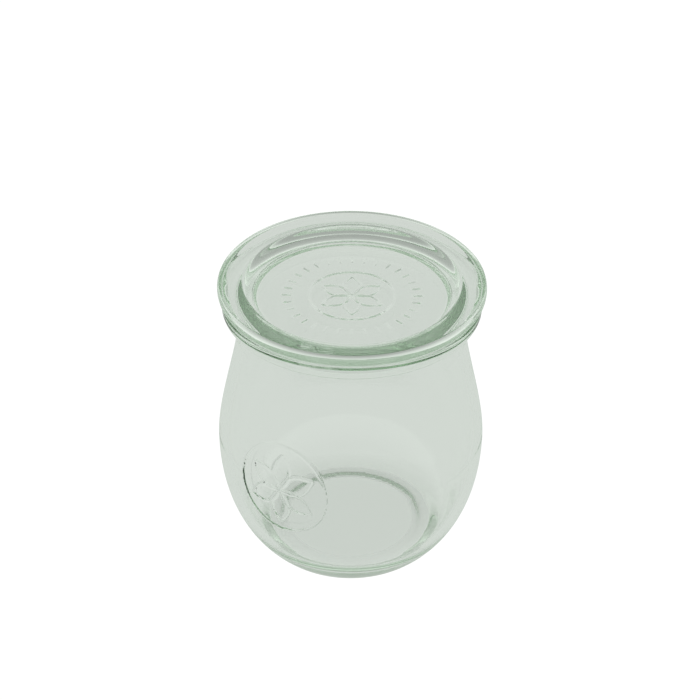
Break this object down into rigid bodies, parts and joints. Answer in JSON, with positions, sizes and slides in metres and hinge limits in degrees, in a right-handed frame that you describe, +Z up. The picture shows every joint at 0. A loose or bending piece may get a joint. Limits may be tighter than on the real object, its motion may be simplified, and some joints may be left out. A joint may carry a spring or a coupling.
{
  "type": "glass tulip jar",
  "caption": "Small clear glass preserving jar with a tulip-shaped body, a narrow neck and a flat rim, closed by a loose round glass lid with a shallow recess.",
  "frame": {"origin": "centre of the ring that the jar stands on, at the level of the surface below it", "axes": "+Z up along the common axis of jar and lid; both are round, and the picture is taken from -Y, with the side medallion about 31 degrees round from there towards -X"},
  "size_m": [0.0734, 0.0734, 0.0837],
  "materials": {
    "jar_glass": "clear pressed glass with a faint green tint",
    "lid_glass": "clear pressed glass with a faint green tint, darker green in its thick edge"
  },
  "bodies": {
    "root": {"jar": "jar_glass", "lid": "lid_glass"}
  },
  "joints": []
}
